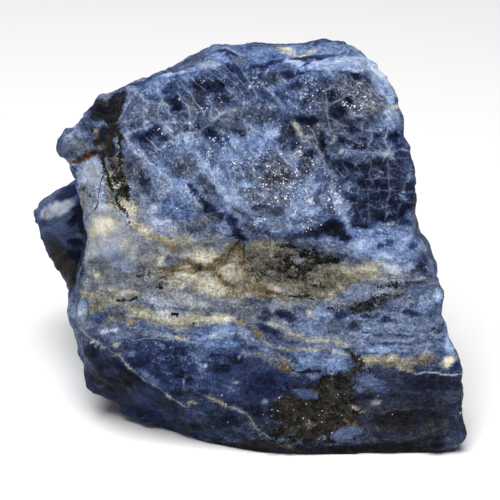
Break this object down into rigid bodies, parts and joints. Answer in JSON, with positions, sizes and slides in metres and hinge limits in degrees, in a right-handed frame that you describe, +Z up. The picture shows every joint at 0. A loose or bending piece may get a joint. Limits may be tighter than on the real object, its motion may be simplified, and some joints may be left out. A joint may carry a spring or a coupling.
{
  "type": "rough sodalite stone",
  "caption": "Hand-sized broken lump of rough blue sodalite rock with a broad veined face and a spur at its back, standing on a small flat spot.",
  "frame": {"origin": "on the ground, under the middle of the stone's bounding box", "axes": "+Z up from the flat spot; +X to the right across the broad face, along the stone's longest extent; the broad face looks towards -Y and leans back"},
  "size_m": [0.0936, 0.069, 0.0781],
  "materials": {
    "sodalite": "rough broken rock, glassy in spots"
  },
  "bodies": {
    "root": {"stone": "sodalite"}
  },
  "joints": []
}
